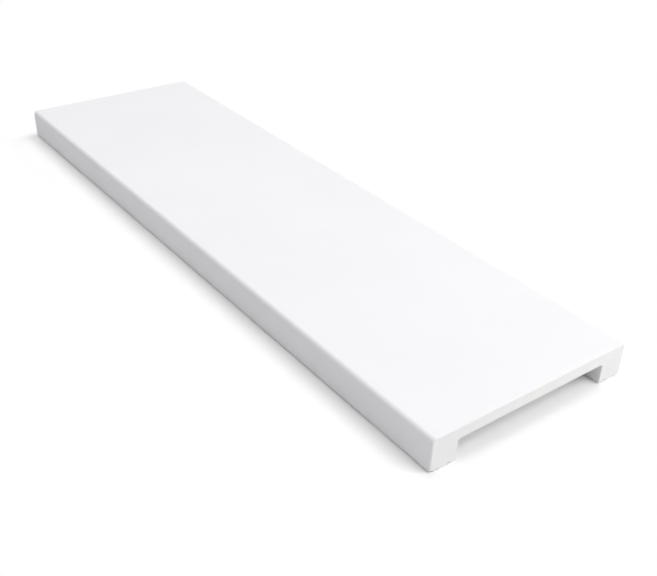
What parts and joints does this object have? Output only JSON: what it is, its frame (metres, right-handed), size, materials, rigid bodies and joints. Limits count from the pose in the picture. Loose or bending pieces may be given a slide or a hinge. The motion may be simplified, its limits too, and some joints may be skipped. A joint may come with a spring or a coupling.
{
  "type": "skirting board",
  "caption": "Plain white skirting board with softened face edges and a wide cable channel along its back.",
  "frame": {"origin": "middle of the footprint, on the plane of the two rails' soles, which is the wall plane when the board is fitted", "axes": "+X along the board, +Y from the floor edge to the upper edge, +Z out of the wall through the face"},
  "size_m": [0.35, 0.1, 0.015],
  "materials": {
    "white_polymer": "smooth satin white, sawn ends bare"
  },
  "bodies": {
    "root": {"skirting_board": "white_polymer"}
  },
  "joints": []
}
